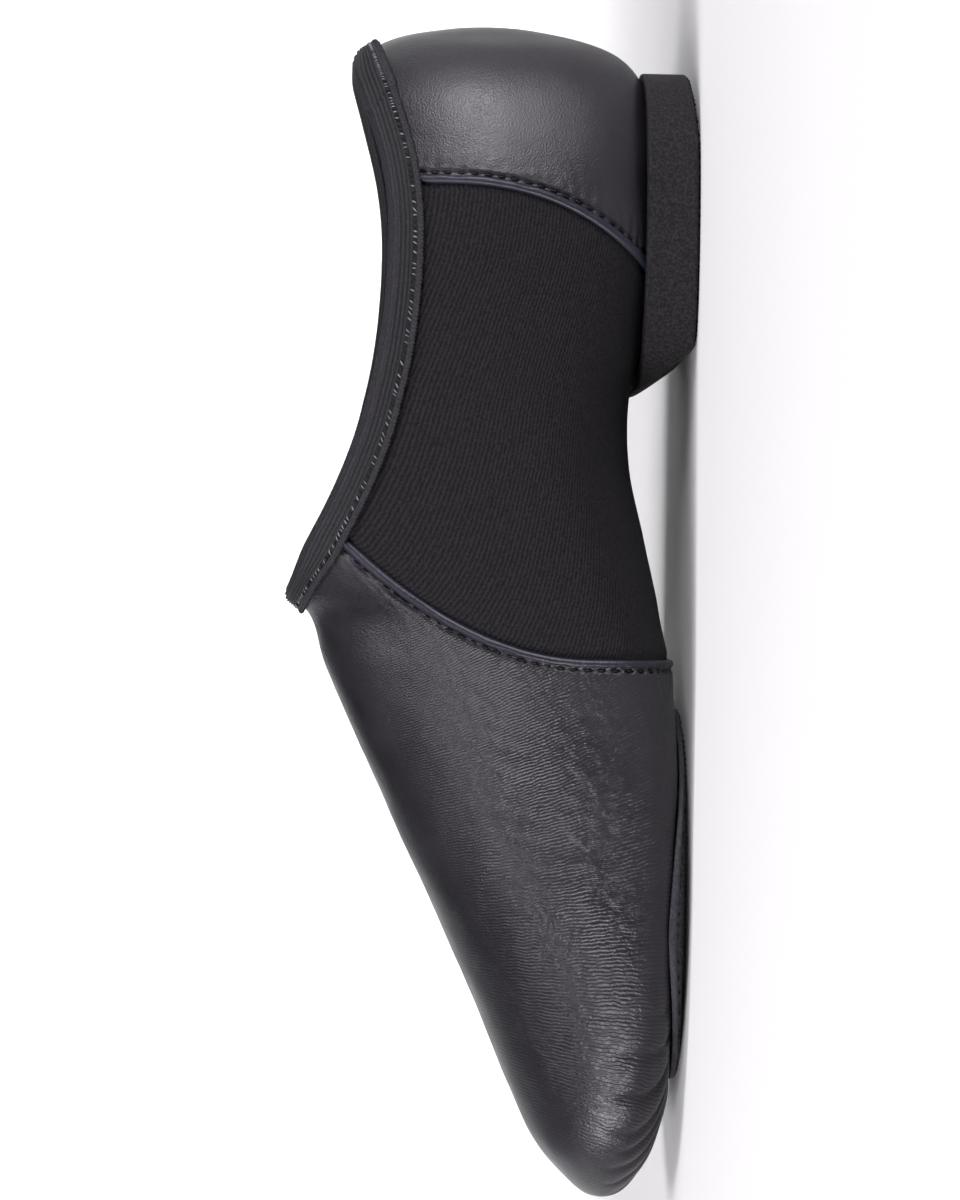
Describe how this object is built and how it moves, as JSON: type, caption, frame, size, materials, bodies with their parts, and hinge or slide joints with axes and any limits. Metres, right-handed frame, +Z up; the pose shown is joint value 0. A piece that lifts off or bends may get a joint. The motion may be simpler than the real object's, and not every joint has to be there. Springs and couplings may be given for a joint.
{
  "type": "jazz shoe",
  "caption": "Low slip-on dance shoe for the left foot: leather vamp and counter on a stretch upper, foam heel block and a thin forefoot sole patch.",
  "frame": {"origin": "on the floor, under the middle of the shoe's length and width", "axes": "+X towards the toe, +Y towards the wearer's left, which is the outer side of this foot, +Z up"},
  "size_m": [0.245, 0.0789, 0.0851],
  "materials": {
    "stretch_fabric": "matt black knitted stretch fabric",
    "leather": "satin black fine-grained leather",
    "elastic": "matt black ribbed elastic",
    "lining": "matt black lining cloth",
    "foam": "matt black foam with fine light specks",
    "rubber": "matt black rubber with a fine pyramid tread"
  },
  "bodies": {
    "root": {"upper": "stretch_fabric", "vamp": "leather", "counter": "leather", "collar_binding": "elastic", "insole": "lining", "heel_block": "foam", "forefoot_sole": "rubber"}
  },
  "joints": []
}
